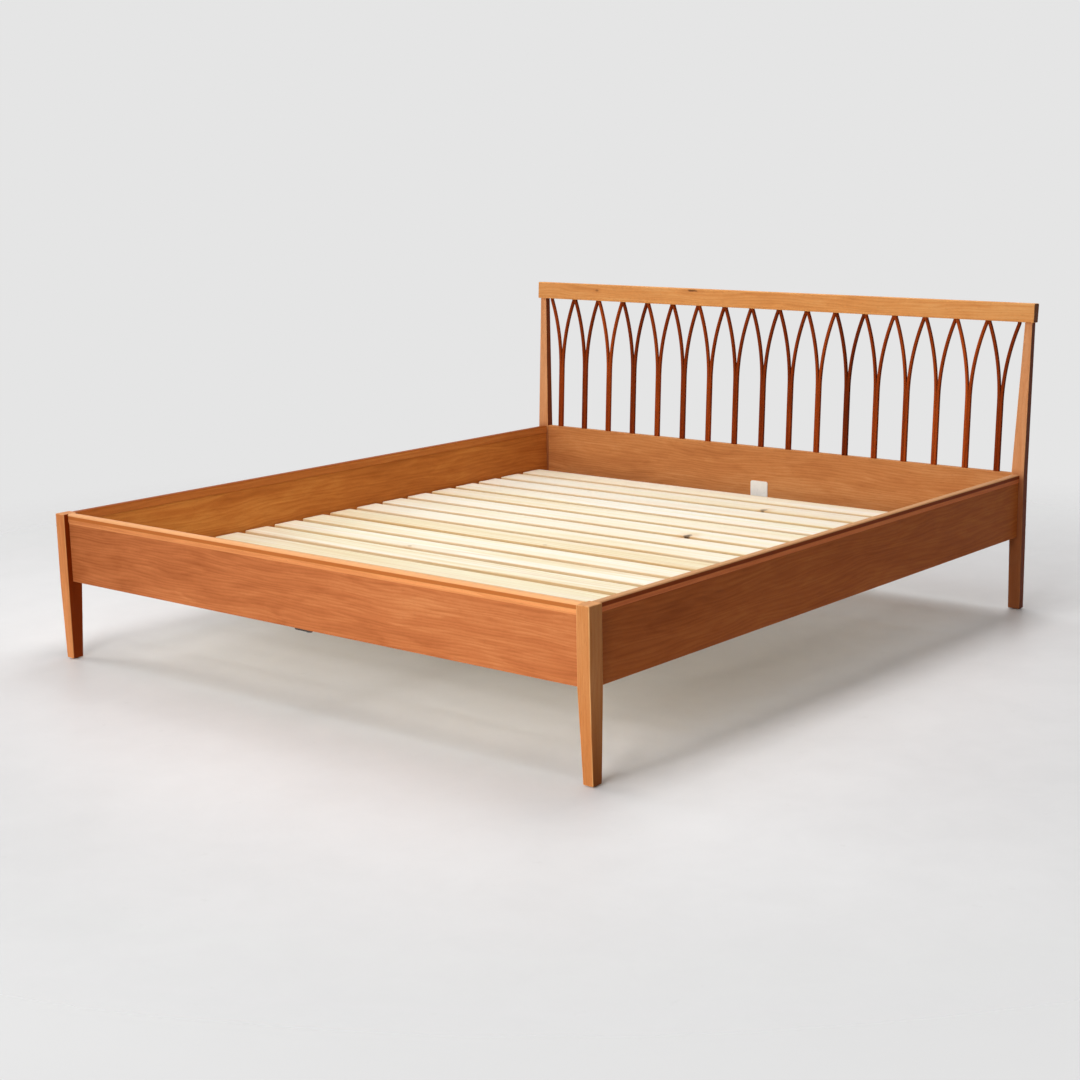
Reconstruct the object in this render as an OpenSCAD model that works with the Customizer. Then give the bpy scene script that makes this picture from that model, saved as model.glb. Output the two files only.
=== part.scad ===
// Double bed frame with a forked spindle headboard, on four tapered posts.
// The frame stands on Z = 0. X runs across the bed, Y from the foot to the head.

/* [Mattress] */
// Width of the mattress
mattress_w = 1800; // [1600:10:2000]
// Length of the mattress
mattress_l = 2000; // [1900:10:2100]
// Play between the mattress and each side rail
side_play = 10; // [6:1:20]
// Play between the mattress and each end
end_play = 12.5; // [6:0.5:20]

/* [Posts] */
// Width of a post beside the rails, across the bed
post_w = 37; // [34:1:50]
// Depth of a foot post beside the rails, along the bed
post_d = 47; // [42:1:60]
// Depth of a head post beside and below the rails
head_post_d = 27; // [20:1:40]
// Width of a foot post at the floor
foot_w = 29; // [24:1:34]
// Width of a head post at the floor
head_foot_w = 38; // [28:1:41]
// How far the outer face of a head post stands out past that of a foot post
head_out = 4; // [0:1:8]
// Depth of a foot post at the floor
foot_d = 33; // [26:1:36]
// How far the front of a foot post leans in towards the floor
foot_lean = 6; // [0:1:6]
// Width of a head post under the cap
head_top_w = 24; // [18:1:34]
// Depth of a head post under the cap
head_top_d = 22; // [17:1:24]
// Length of a head post above the rails, along its slope
head_h = 451; // [360:1:560]
// Backward slope of the headboard above the rails, in degrees
head_rake = 2.9; // [0:0.1:5]

/* [Rails] */
// Height of the rail tops above the floor
frame_top = 412; // [360:1:500]
// Thickness of the rail boards
rail_t = 18; // [17:1:21]
// Height of the rail boards, without their edging
board_h = 166; // [165:1:220]
// Height of the edging on top of a rail board
edging_h = 24; // [8:1:28]
// How far the edging stands out past each face of its board
edging_proud = 2; // [0:0.5:3]
// How far the side rails lie inside the outer faces of the foot posts
side_setback = 12; // [8:1:12]
// How far the foot rail lies behind the front of the foot posts
foot_setback = 16; // [6:1:17]

/* [Headboard] */
// Thickness of the lower headboard panel
panel_t = 18; // [17:1:24]
// How far the panel lies behind the front of the head posts
panel_recess = 2; // [1:0.5:3]
// How far the panel rises above the rail tops
panel_rise = 3; // [0:1:20]
// Height of the cap rail
cap_h = 56; // [40:1:80]
// Depth of the cap rail's underside
cap_d = 28; // [24:1:36]
// How far the cap rail's back leans out at its top
cap_flare = 3; // [0:1:12]
// How far the cap rail stands out in front of the posts
cap_front = 6; // [0:1:8]
// How far the cap rail stands out past the head posts at each end
cap_side = 7; // [0:1:30]

/* [Spindles] */
// Number of forked spindles
spindle_n = 17; // [11:1:17]
// Thickness of one bent strip, across the bed
strip_t = 9; // [4:1:9]
// Depth of one bent strip, along the bed
strip_d = 11; // [7:1:11]
// How far the middle of the spindles lies behind the front of the head posts
spindle_back = 10; // [9:0.5:11]
// Height of the arches, from the start of the fork to the cap
arch_rise = 243; // [180:1:320]
// Height over which two neighbouring strips lie together under the cap
apex_joint = 6; // [3:1:30]
// Depth of the mortises in the panel's top edge
mortise_depth = 14; // [8:1:30]
// Depth of the groove in the cap's underside
groove_depth = 6; // [4:1:10]

/* [Slats] */
// Number of slats
slat_n = 17; // [12:1:17]
// Width of a slat, along the bed
slat_w = 90; // [60:1:95]
// Thickness of a slat
slat_t = 18; // [14:1:24]
// Height of the slat tops above the floor
slat_top = 264; // [262:1:300]
// Radius of a slat's corners
slat_corner = 7; // [2:1:12]
// Gap between a slat's end and the side rail
slat_side_gap = 6; // [4:1:10]
// Gap between the foot rail and the first slat
slat_foot_gap = 23; // [20:1:40]
// Gap between the last slat and the panel
slat_head_gap = 55; // [12:1:80]
// Width of a ledge under the slat ends
ledge_w = 25; // [22:1:32]
// Height of a ledge under the slat ends
ledge_h = 22; // [16:1:24]
// Width of a strap that joins the slats
strap_w = 22; // [16:1:40]
// Thickness of a strap
strap_t = 1; // [0.6:0.1:2]
// Distance of each strap from the middle of the bed
strap_x = 620; // [300:10:700]

/* [Centre beam] */
// Width of the steel beam tube
beam_w = 40; // [30:1:46]
// Height of the steel beam tube
beam_h = 32; // [30:1:38]
// Wall of the steel beam tube
beam_wall = 1.5; // [1:0.1:3]
// How far a beam bracket's back plate stands out past each side of the beam
bracket_ear = 13; // [13:1:24]
// Height of a bracket's back plate above the slat tops
bracket_rise = 38; // [30:1:60]
// Thickness of the bracket sheet
bracket_t = 2.5; // [2:0.1:3]
// Depth of the bracket's cup under the beam end
cup_d = 35; // [20:1:60]
// Corner radius of the bracket's back plate
bracket_corner = 7; // [3:1:10]
// Diameter of the bolt that holds each end of the beam
bolt_d = 8; // [6:1:8]
// Width of the bolt's head and nut across their flats
bolt_flats = 13; // [10:1:14]
// Diameter of the washer under the bolt's head
washer_d = 24; // [16:1:26]

/* [Fittings] */
// Width of the hook plates and slot plates
plate_w = 14; // [13:1:15]
// Height of the hook plates and slot plates
plate_h = 120; // [116:1:140]
// Thickness of the hook plates and slot plates
plate_t = 2.5; // [2:0.1:3]
// Thickness of a hook, across the bed
hook_t = 3; // [2:0.5:4]
// Distance of each hook from the middle of its plate
hook_pitch = 28; // [27:1:32]
// Diameter of a rail dowel
dowel_d = 8; // [6:1:8]
// Length of a rail dowel
dowel_l = 50; // [36:1:54]
// Diameter of the dowel between a head post and the cap
cap_dowel_d = 8; // [6:1:8]
// Length of the dowel between a head post and the cap
cap_dowel_l = 55; // [40:1:70]
// Diameter of a wood screw's shank
screw_d = 4; // [3:0.5:4.5]
// Diameter of a wood screw's countersunk head
screw_head_d = 8; // [7.5:0.5:8.5]
// Length of the screws in the plates
plate_screw_l = 16; // [12:1:17]
// Length of the screws in the ledges
ledge_screw_l = 36; // [33:1:38]
// Number of screws in each ledge
ledge_screw_n = 7; // [4:1:12]
// Length of the screws in the brackets
bracket_screw_l = 15; // [10:1:16]
// Diameter of a glide under a post
glide_d = 18; // [12:1:19]
// Height of a glide under a post
glide_h = 3; // [2:0.5:6]
// Clearance around dowels, screws, plates and tenons
fit_gap = 0.1; // [0.05:0.05:0.2]

/* [Hidden] */
$fn = 48;
SPINDLE_NAMES = [for (i = [1 : spindle_n]) str("spindle_", i < 10 ? "0" : "", i)];
SLAT_NAMES = [for (i = [1 : slat_n]) str("slat_", i < 10 ? "0" : "", i)];

// Colours of the woods and metals
post_colour = "#c9803f";
board_colour = "#b5652f";
edging_colour = "#c97a41";
cap_colour = "#dc9c5a";
spindle_colour = "#6d3518";
slat_colour = "#f3dfba";
steel_colour = "#a9adb0";
white_colour = "#eceae4";
strap_colour = "#dcd8cc";
glide_colour = "#5a4334";

// Half widths, out from the middle of the bed
half_inner = mattress_w / 2 + side_play;
half_board_out = half_inner + rail_t;
half_w = half_board_out + side_setback;
head_outer = half_w + head_out;
post_in = half_w - post_w;
rail_mid_x = half_inner + rail_t / 2;

// Places along the bed, from the front of the foot posts
foot_rail_y = foot_setback;
foot_rail_back = foot_setback + rail_t;
panel_y = foot_rail_back + mattress_l + 2 * end_play;
head_y = panel_y - panel_recess;
side_rail_l = head_y - post_d;

// Places in the sloping part of the headboard
panel_mid = panel_recess + panel_t / 2;
cap_back = cap_d - cap_front;
cap_top_y = cap_back + cap_flare;
rake_sin = sin(head_rake);
rake_cos = cos(head_rake);
cap_top_back = head_y + cap_top_y * rake_cos + (head_h + cap_h) * rake_sin;
head_post_back = head_y + head_post_d;
overall_l = max(cap_top_back, head_post_back);
origin_y = -overall_l / 2;

// Heights
board_top = frame_top - edging_h;
board_bottom = board_top - board_h;
panel_top = frame_top + panel_rise;
slat_bottom = slat_top - slat_t;
plate_mid_z = board_bottom + board_h / 2;
dowel_zs = [board_bottom + dowel_d * 2, plate_mid_z, board_top - dowel_d * 2 + 2];
hook_drop = 8;
hook_tongue_h = 16;
hook_reach = 7;
slot_rise = 9;
screw_from_mid = hook_pitch + hook_tongue_h / 2 + slot_rise + screw_head_d / 2 + 1;
head_sink = 0.3;

// Spindles and the pointed arches between them
spindle_pitch = 2 * post_in / spindle_n;
stem_start = panel_rise - mortise_depth + 1;
arc_start = head_h - arch_rise;
side_travel = spindle_pitch / 2 - strip_t;
arc_angle = 2 * atan(side_travel / (arch_rise - apex_joint));
arc_inner_r = (arch_rise - apex_joint) / sin(arc_angle);
strip_end = head_h + groove_depth - 1;
crotch_h = 20;

// Slats
slat_half = half_inner - slat_side_gap;
slat_field = panel_y - foot_rail_back - slat_foot_gap - slat_head_gap;
slat_pitch = (slat_field - slat_w) / (slat_n - 1);
slat_first_y = foot_rail_back + slat_foot_gap;
bracket_w = beam_w + 2 * bracket_ear;
cup_half = beam_w / 2 + fit_gap;
staple_w = 10;
staple_wire = 1;
staple_leg = 9;

// Glides
glide_pin_d = 3;
glide_pin_l = 16;

// Moves the children so that the middle of the whole bed lies over the origin.
module placed() {
    translate([0, origin_y, 0]) children();
}

// Places the children in the sloping headboard: Z up the slope from the rail tops.
module raked() {
    translate([0, head_y, frame_top]) rotate([-head_rake, 0, 0]) children();
}

// A board that spans two corners, given as [x, y, z].
module block(low, high) {
    translate(low) cube(high - low);
}

// The children on one side of the bed: 1 is the right, -1 the left.
module on_side(side) {
    if (side > 0) children();
    else mirror([1, 0, 0]) children();
}

// A countersunk wood screw that points along -Z, its head sunk just under the face at Z = 0.
module screw(length, gap = 0) {
    head_depth = (screw_head_d - screw_d) / 2;
    translate([0, 0, -length - gap]) cylinder(h = length + gap - head_sink, d = screw_d + 2 * gap);
    translate([0, 0, -head_depth - head_sink])
        cylinder(h = head_depth, d1 = screw_d + 2 * gap, d2 = screw_head_d + 2 * gap);
}

// The hole for such a screw, open at the face.
module screw_hole(length) {
    screw(length, fit_gap);
    translate([0, 0, -head_sink]) cylinder(h = head_sink + 1, d = screw_head_d + 2 * fit_gap);
}

// A flat outline with rounded corners between two corners, given as [x, y].
module rounded_rectangle(low, high, radius) {
    translate([low.x + radius, low.y]) square([high.x - low.x - 2 * radius, high.y - low.y]);
    translate([low.x, low.y + radius]) square([high.x - low.x, high.y - low.y - 2 * radius]);
    for (x = [low.x + radius, high.x - radius]) for (y = [low.y + radius, high.y - radius])
        translate([x, y]) circle(radius);
}

// The lower part of a post seen from the front, with its taper on the inner face.
module post_front_outline(outer, floor_w) {
    polygon([
        [outer - floor_w, glide_h],
        [outer, glide_h],
        [outer, frame_top],
        [post_in, frame_top],
        [post_in, board_bottom]
    ]);
}

// A post's solid from its front outline and its side outline.
module crossed(front_depth) {
    intersection() {
        translate([0, front_depth, 0]) rotate([90, 0, 0]) linear_extrude(front_depth) children(0);
        rotate([90, 0, 90]) linear_extrude(head_outer + 1) children(1);
    }
}

// Holes for the dowels that join a cross rail to the posts, out of the inner face.
module dowel_holes(y) {
    for (z = dowel_zs)
        translate([post_in, y, z]) rotate([0, 90, 0])
            cylinder(h = dowel_l + 2 * fit_gap, d = dowel_d + 2 * fit_gap, center = true);
}

// Pocket for a slot plate, its hooks and its screws, cut into a face that looks along +Y.
module plate_pocket(hooks) {
    translate([rail_mid_x, 0, plate_mid_z]) {
        block(
            [-plate_w / 2 - fit_gap, -plate_t, -plate_h / 2 - fit_gap],
            [plate_w / 2 + fit_gap, 1, plate_h / 2 + fit_gap]
        );
        if (hooks) for (z = [-hook_pitch, hook_pitch])
            block(
                [-hook_t / 2 - 0.5, -hook_reach - 1, z - hook_tongue_h / 2 - hook_drop - 1],
                [hook_t / 2 + 0.5, 0, z + hook_tongue_h / 2 + slot_rise]
            );
        for (z = [-screw_from_mid, screw_from_mid])
            translate([0, 0, z]) rotate([-90, 0, 0]) screw_hole(plate_screw_l);
    }
}

// Pocket for the pin of a glide, up from the foot of a post.
module glide_hole(x, y) {
    translate([x, y, glide_h - 1]) cylinder(h = glide_pin_l + 1 + fit_gap, d = glide_pin_d + 2 * fit_gap);
}

module foot_post(side) {
    color(post_colour) placed() on_side(side) difference() {
        crossed(post_d) {
            post_front_outline(half_w, foot_w);
            polygon([
                [foot_lean, glide_h],
                [foot_lean + foot_d, glide_h],
                [post_d, board_bottom],
                [post_d, frame_top],
                [0, frame_top],
                [0, board_bottom]
            ]);
        }
        dowel_holes(foot_rail_y + rail_t / 2);
        translate([0, post_d, 0]) plate_pocket(true);
        glide_hole(half_w - foot_w / 2, foot_lean + foot_d / 2);
    }
}

module head_post(side) {
    color(post_colour) placed() on_side(side) difference() {
        union() {
            translate([0, head_y, 0]) crossed(head_post_d) {
                post_front_outline(head_outer, head_foot_w);
                translate([0, glide_h]) square([head_post_d, frame_top - glide_h]);
            }
            raked() crossed(head_post_d) {
                polygon([
                    [post_in, 0],
                    [head_outer, 0],
                    [head_outer, head_h],
                    [head_outer - head_top_w, head_h]
                ]);
                polygon([
                    [0, 0],
                    [head_post_d, 0],
                    [head_top_d, head_h],
                    [0, head_h]
                ]);
            }
        }
        dowel_holes(head_y + panel_mid);
        translate([0, head_y, 0]) mirror([0, 1, 0]) plate_pocket(true);
        glide_hole(head_outer - head_foot_w / 2, head_y + head_post_d / 2);
        cap_dowels(fit_gap);
    }
}

// The dowels between the head posts and the cap, for the right-hand side.
module cap_dowels(gap) {
    raked() translate([head_outer - head_top_w / 2, head_top_d / 2, head_h])
        cylinder(h = cap_dowel_l + 2 * gap, d = cap_dowel_d + 2 * gap, center = true);
}

// The holes of a beam bracket, in the face of a cross rail that looks along +Y.
module bracket_screw_places() {
    upper_x = bracket_w / 4;
    lower_x = (cup_half + bracket_t + bracket_w / 2) / 2;
    for (side = [-1, 1]) {
        translate([side * upper_x, 0, slat_top + bracket_rise / 2]) rotate([-90, 0, 0]) children();
        translate([side * lower_x, 0, slat_bottom - 12]) rotate([-90, 0, 0]) children();
    }
}

module foot_rail() {
    color(board_colour) placed() difference() {
        block([-post_in, foot_rail_y, board_bottom], [post_in, foot_rail_back, board_top]);
        for (side = [-1, 1]) on_side(side) dowel_holes(foot_rail_y + rail_t / 2);
        translate([0, foot_rail_back + bracket_t, 0]) bracket_screw_places() screw_hole(bracket_screw_l);
    }
}

// An edging's section: a strip with its two upper edges rounded.
module edging_section() {
    width = rail_t + 2 * edging_proud;
    radius = min(4, edging_h / 2);
    translate([-width / 2, 0]) square([width, edging_h - radius]);
    translate([-width / 2 + radius, 0]) square([width - 2 * radius, edging_h]);
    for (x = [-1, 1]) translate([x * (width / 2 - radius), edging_h - radius]) circle(radius);
}

module foot_rail_edging() {
    color(edging_colour) placed()
        translate([-post_in, foot_rail_y + rail_t / 2, board_top])
            rotate([90, 0, 90]) linear_extrude(2 * post_in) edging_section();
}

module side_rail(side) {
    color(board_colour) placed() on_side(side) difference() {
        block([half_inner, post_d, board_bottom], [half_board_out, head_y, board_top]);
        translate([0, post_d, 0]) mirror([0, 1, 0]) plate_pocket(false);
        translate([0, head_y, 0]) plate_pocket(false);
        ledge_screw_places() screw_hole(ledge_screw_l);
    }
}

module side_rail_edging(side) {
    color(edging_colour) placed() on_side(side)
        translate([rail_mid_x, head_y, board_top])
            rotate([90, 0, 0]) linear_extrude(side_rail_l) edging_section();
}

module headboard_panel() {
    color(board_colour) placed() difference() {
        block([-post_in, panel_y, board_bottom], [post_in, panel_y + panel_t, panel_top]);
        for (side = [-1, 1]) on_side(side) dowel_holes(head_y + panel_mid);
        for (i = [1 : spindle_n]) raked() translate([spindle_x(i), 0, 0])
            block(
                [-strip_t - fit_gap, spindle_back - strip_d / 2 - fit_gap, stem_start - 1],
                [strip_t + fit_gap, spindle_back + strip_d / 2 + fit_gap, panel_rise + 10]
            );
        translate([0, panel_y - bracket_t, 0]) mirror([0, 1, 0])
            bracket_screw_places() screw_hole(bracket_screw_l);
    }
}

module headboard_cap() {
    half_groove = post_in + fit_gap;
    color(cap_colour) placed() difference() {
        raked() translate([-head_outer - cap_side, 0, head_h]) rotate([90, 0, 90])
            linear_extrude(2 * (head_outer + cap_side))
                polygon([[-cap_front, 0], [cap_back, 0], [cap_top_y, cap_h], [-cap_front, cap_h]]);
        raked() block(
            [-half_groove, spindle_back - strip_d / 2 - fit_gap, head_h - 1],
            [half_groove, spindle_back + strip_d / 2 + fit_gap, head_h + groove_depth]
        );
        for (side = [-1, 1]) on_side(side) cap_dowels(fit_gap);
    }
}

// Middle of a spindle, counted from the left.
function spindle_x(i) = (i - (spindle_n + 1) / 2) * spindle_pitch;

// The right-hand strip of a spindle above its stem, bent out along an arc to the arch's point.
module fork_arm() {
    outer_r = arc_inner_r + strip_t;
    intersection() {
        translate([outer_r, arc_start]) difference() {
            circle(r = outer_r, $fn = 240);
            circle(r = arc_inner_r, $fn = 240);
        }
        translate([0, arc_start]) square([spindle_pitch / 2, strip_end - arc_start]);
    }
}

// A spindle: two strips glued side by side up to the crotch, then bent apart.
module spindle(i) {
    color(spindle_colour) placed() raked() translate([spindle_x(i), spindle_back + strip_d / 2, 0])
        rotate([90, 0, 0]) linear_extrude(strip_d) union() {
            translate([-strip_t, stem_start]) square([2 * strip_t, arc_start + crotch_h - stem_start]);
            fork_arm();
            mirror([1, 0, 0]) fork_arm();
        }
}

// Middle of a slat along the bed, counted from the foot.
function slat_y(i) = slat_first_y + slat_w / 2 + (i - 1) * slat_pitch;

// The legs of the staples that hold the straps to one slat.
module staple_legs(gap) {
    leg = staple_wire + 2 * gap;
    for (side = [-1, 1]) for (x = [-1, 1])
        translate([side * strap_x + x * (staple_w - staple_wire) / 2 - leg / 2, -leg / 2, -strap_t - 0.5])
            cube([leg, leg, staple_leg + 0.5 + gap]);
}

module slat(i) {
    color(slat_colour) placed() translate([0, slat_y(i), slat_bottom]) difference() {
        linear_extrude(slat_t)
            rounded_rectangle([-slat_half, -slat_w / 2], [slat_half, slat_w / 2], slat_corner);
        staple_legs(fit_gap);
    }
}

module slat_straps() {
    color(strap_colour) placed() difference() {
        for (side = [-1, 1])
            translate([side * strap_x - strap_w / 2, slat_first_y, slat_bottom - strap_t])
                cube([strap_w, slat_pitch * (slat_n - 1) + slat_w, strap_t]);
        for (i = [1 : slat_n]) translate([0, slat_y(i), slat_bottom]) staple_legs(fit_gap);
    }
}

// A staple driven up into the wood above Z = 0, its back lying under that plane.
module staple() {
    half = staple_w / 2;
    block([-half, -staple_wire / 2, -staple_wire], [half, staple_wire / 2, 0]);
    for (x = [-half, half - staple_wire])
        block([x, -staple_wire / 2, -staple_wire], [x + staple_wire, staple_wire / 2, staple_leg]);
}

module strap_staples() {
    color(steel_colour) placed() for (i = [1 : slat_n]) for (side = [-1, 1])
        translate([side * strap_x, slat_y(i), slat_bottom - strap_t]) staple();
}

// Places of the ledge screws, each pointing out into the side rail.
module ledge_screw_places() {
    margin = 60;
    step = (side_rail_l - 2 * margin) / (ledge_screw_n - 1);
    for (i = [0 : ledge_screw_n - 1])
        translate([half_inner - ledge_w, post_d + margin + i * step, slat_bottom - ledge_h / 2])
            rotate([0, -90, 0]) children();
}

module slat_ledge(side) {
    end_gap = 2;
    color(slat_colour) placed() on_side(side) difference() {
        block(
            [half_inner - ledge_w, post_d + end_gap, slat_bottom - ledge_h],
            [half_inner, head_y - end_gap, slat_bottom]
        );
        ledge_screw_places() screw_hole(ledge_screw_l);
    }
}

module centre_beam() {
    end_gap = bracket_t + 0.5;
    low = [-beam_w / 2, foot_rail_back + end_gap, slat_bottom - beam_h];
    high = [beam_w / 2, panel_y - end_gap, slat_bottom];
    color(steel_colour) placed() difference() {
        block(low, high);
        block(low + [beam_wall, -1, beam_wall], high + [-beam_wall, 1, -beam_wall]);
        beam_bolt_places() cylinder(h = 4 * beam_wall, d = bolt_d + 2 * fit_gap, center = true);
    }
}

// The two places where a bolt passes up through a bracket's cup into the beam's lower wall.
module beam_bolt_places() {
    for (y = [foot_rail_back + bracket_t + cup_d / 2, panel_y - bracket_t - cup_d / 2])
        translate([0, y, slat_bottom - beam_h]) children();
}

// A bolt with its washer below the cup, and its nut inside the beam.
module beam_bolt() {
    washer_t = 2;
    head_t = 5;
    nut_t = 6.5;
    corners_d = bolt_flats / cos(30);
    bolt_l = washer_t + bracket_t + beam_wall + nut_t + 3;
    translate([0, 0, -bracket_t - washer_t]) cylinder(h = washer_t, d = washer_d);
    translate([0, 0, -bracket_t - washer_t - head_t]) cylinder(h = head_t, d = corners_d, $fn = 6);
    translate([0, 0, -bracket_t - washer_t]) cylinder(h = bolt_l, d = bolt_d);
    translate([0, 0, beam_wall]) difference() {
        cylinder(h = nut_t, d = corners_d, $fn = 6);
        translate([0, 0, -1]) cylinder(h = nut_t + 2, d = bolt_d + 2 * fit_gap);
    }
}

module beam_bolts() {
    color(steel_colour) placed() beam_bolt_places() beam_bolt();
}

// A beam bracket on a face that looks along +Y: a back plate with a cup for the beam's end.
module beam_bracket() {
    cup_floor = slat_bottom - beam_h;
    difference() {
        union() {
            translate([0, bracket_t, 0]) rotate([90, 0, 0]) linear_extrude(bracket_t) rounded_rectangle(
                [-bracket_w / 2, cup_floor - bracket_t],
                [bracket_w / 2, slat_top + bracket_rise],
                bracket_corner
            );
            difference() {
                block(
                    [-cup_half - bracket_t, 0, cup_floor - bracket_t],
                    [cup_half + bracket_t, bracket_t + cup_d, slat_bottom - 3]
                );
                block([-cup_half, bracket_t, cup_floor], [cup_half, bracket_t + cup_d + 1, slat_bottom]);
            }
        }
        translate([0, bracket_t, 0]) bracket_screw_places() screw_hole(bracket_screw_l);
        translate([0, bracket_t + cup_d / 2, cup_floor - bracket_t])
            cylinder(h = 4 * bracket_t, d = bolt_d + 2 * fit_gap, center = true);
    }
}

module beam_bracket_foot() {
    color(white_colour) placed() translate([0, foot_rail_back, 0]) beam_bracket();
}

module beam_bracket_head() {
    color(white_colour) placed() translate([0, panel_y, 0]) mirror([0, 1, 0]) beam_bracket();
}

// The screws in the two ledges and the two beam brackets.
module board_screws() {
    color(steel_colour) placed() {
        for (side = [-1, 1]) on_side(side) ledge_screw_places() screw(ledge_screw_l);
        translate([0, foot_rail_back + bracket_t, 0]) bracket_screw_places() screw(bracket_screw_l);
        translate([0, panel_y - bracket_t, 0]) mirror([0, 1, 0])
            bracket_screw_places() screw(bracket_screw_l);
    }
}

// The two plate screws of a pocket whose plate looks along +Y.
module plate_screw_pair() {
    for (z = [-screw_from_mid, screw_from_mid])
        translate([rail_mid_x, 0, plate_mid_z + z]) rotate([-90, 0, 0]) screw(plate_screw_l);
}

// A hook plate in the end of a side rail that looks along +Y, its hooks reaching into the post.
module hook_plate() {
    difference() {
        translate([rail_mid_x, 0, plate_mid_z]) {
            block([-plate_w / 2, -plate_t, -plate_h / 2], [plate_w / 2, 0, plate_h / 2]);
            for (z = [-hook_pitch, hook_pitch])
                translate([-hook_t / 2, 0, z]) rotate([90, 0, 90]) linear_extrude(hook_t) polygon([
                    [-plate_t / 2, -hook_tongue_h / 2],
                    [plate_t + fit_gap, -hook_tongue_h / 2],
                    [plate_t + fit_gap, -hook_tongue_h / 2 - hook_drop],
                    [hook_reach, -hook_tongue_h / 2 - hook_drop + 3],
                    [hook_reach, hook_tongue_h / 2],
                    [-plate_t / 2, hook_tongue_h / 2]
                ]);
        }
        plate_screw_holes();
    }
}

// A slot plate in a post's face that looks along +Y.
module slot_plate() {
    difference() {
        translate([rail_mid_x, 0, plate_mid_z])
            block([-plate_w / 2, -plate_t, -plate_h / 2], [plate_w / 2, 0, plate_h / 2]);
        for (z = [-hook_pitch, hook_pitch])
            translate([rail_mid_x, 0, plate_mid_z + z])
                block(
                    [-hook_t / 2 - fit_gap, -plate_t - 1, -hook_tongue_h / 2],
                    [hook_t / 2 + fit_gap, 1, hook_tongue_h / 2 + slot_rise]
                );
        plate_screw_holes();
    }
}

// The holes of both plates' screws.
module plate_screw_holes() {
    for (z = [-screw_from_mid, screw_from_mid])
        translate([rail_mid_x, 0, plate_mid_z + z]) rotate([-90, 0, 0]) screw_hole(plate_screw_l);
}

// The children at each of the four ends of the side rails, drawn as a rail end that looks along +Y.
module at_rail_ends() {
    for (side = [-1, 1]) on_side(side) {
        translate([0, post_d, 0]) mirror([0, 1, 0]) children();
        translate([0, head_y, 0]) children();
    }
}

// The children at each of the four post faces, drawn as a face that looks along +Y.
module at_post_faces() {
    for (side = [-1, 1]) on_side(side) {
        translate([0, post_d, 0]) children();
        translate([0, head_y, 0]) mirror([0, 1, 0]) children();
    }
}

module rail_hook_plates() {
    color(steel_colour) placed() at_rail_ends() hook_plate();
}

module post_slot_plates() {
    color(steel_colour) placed() at_post_faces() slot_plate();
}

module plate_screws() {
    color(steel_colour) placed() {
        at_rail_ends() plate_screw_pair();
        at_post_faces() plate_screw_pair();
    }
}

module dowels() {
    color(slat_colour) placed() for (side = [-1, 1]) on_side(side) {
        for (y = [foot_rail_y + rail_t / 2, head_y + panel_mid]) for (z = dowel_zs)
            translate([post_in, y, z]) rotate([0, 90, 0])
                cylinder(h = dowel_l, d = dowel_d, center = true);
        cap_dowels(0);
    }
}

// A glide under a post: a disc with a pin driven up into the wood.
module glide(x, y) {
    translate([x, y, 0]) {
        cylinder(h = glide_h, d = glide_d);
        cylinder(h = glide_h + glide_pin_l, d = glide_pin_d);
    }
}

module post_glides() {
    color(glide_colour) placed() for (side = [-1, 1]) on_side(side) {
        glide(half_w - foot_w / 2, foot_lean + foot_d / 2);
        glide(head_outer - head_foot_w / 2, head_y + head_post_d / 2);
    }
}

foot_post(-1);  // foot_post_left
foot_post(1);  // foot_post_right
head_post(-1);  // head_post_left
head_post(1);  // head_post_right
foot_rail();
foot_rail_edging();
side_rail(-1);  // side_rail_left
side_rail(1);  // side_rail_right
side_rail_edging(-1);  // side_rail_edging_left
side_rail_edging(1);  // side_rail_edging_right
headboard_panel();
headboard_cap();
for (i = [1 : spindle_n]) spindle(i);
for (i = [1 : slat_n]) slat(i);
slat_ledge(-1);  // slat_ledge_left
slat_ledge(1);  // slat_ledge_right
slat_straps();
strap_staples();
centre_beam();
beam_bracket_foot();
beam_bracket_head();
beam_bolts();
rail_hook_plates();
post_slot_plates();
plate_screws();
board_screws();
dowels();
post_glides();
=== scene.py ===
"""A double bed frame with a forked spindle headboard, dressed around its CAD model."""

import math

import bpy
import numpy as np
from mathutils import Matrix, Vector

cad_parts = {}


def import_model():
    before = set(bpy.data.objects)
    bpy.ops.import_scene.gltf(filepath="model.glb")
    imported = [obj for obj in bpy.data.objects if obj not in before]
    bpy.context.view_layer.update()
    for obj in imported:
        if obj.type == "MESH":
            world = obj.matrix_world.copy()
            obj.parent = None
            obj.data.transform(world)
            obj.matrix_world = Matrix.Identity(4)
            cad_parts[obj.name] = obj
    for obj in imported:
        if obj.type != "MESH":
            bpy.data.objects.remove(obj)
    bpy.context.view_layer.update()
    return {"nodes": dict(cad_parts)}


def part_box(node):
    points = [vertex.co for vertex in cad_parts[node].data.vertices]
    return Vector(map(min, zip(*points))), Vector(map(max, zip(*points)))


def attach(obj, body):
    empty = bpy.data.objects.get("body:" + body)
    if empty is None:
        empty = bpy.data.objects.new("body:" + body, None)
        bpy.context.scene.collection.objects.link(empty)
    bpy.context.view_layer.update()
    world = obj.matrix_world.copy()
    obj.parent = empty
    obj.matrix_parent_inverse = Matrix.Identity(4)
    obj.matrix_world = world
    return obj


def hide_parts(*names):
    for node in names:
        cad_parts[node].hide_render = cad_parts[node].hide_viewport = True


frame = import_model()
nodes = frame["nodes"]

# Sizes in metres, in the frame of the CAD model: X across the bed, Y from foot to head, Z up
HALF_W = 0.940
FRAME_TOP = 0.412
BOARD_TOP = 0.388
BOARD_BOTTOM = 0.222
GLIDE_H = 0.003
FRONT_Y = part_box("foot_post_right")[0].y
HEAD_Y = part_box("head_post_right")[0].y

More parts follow.
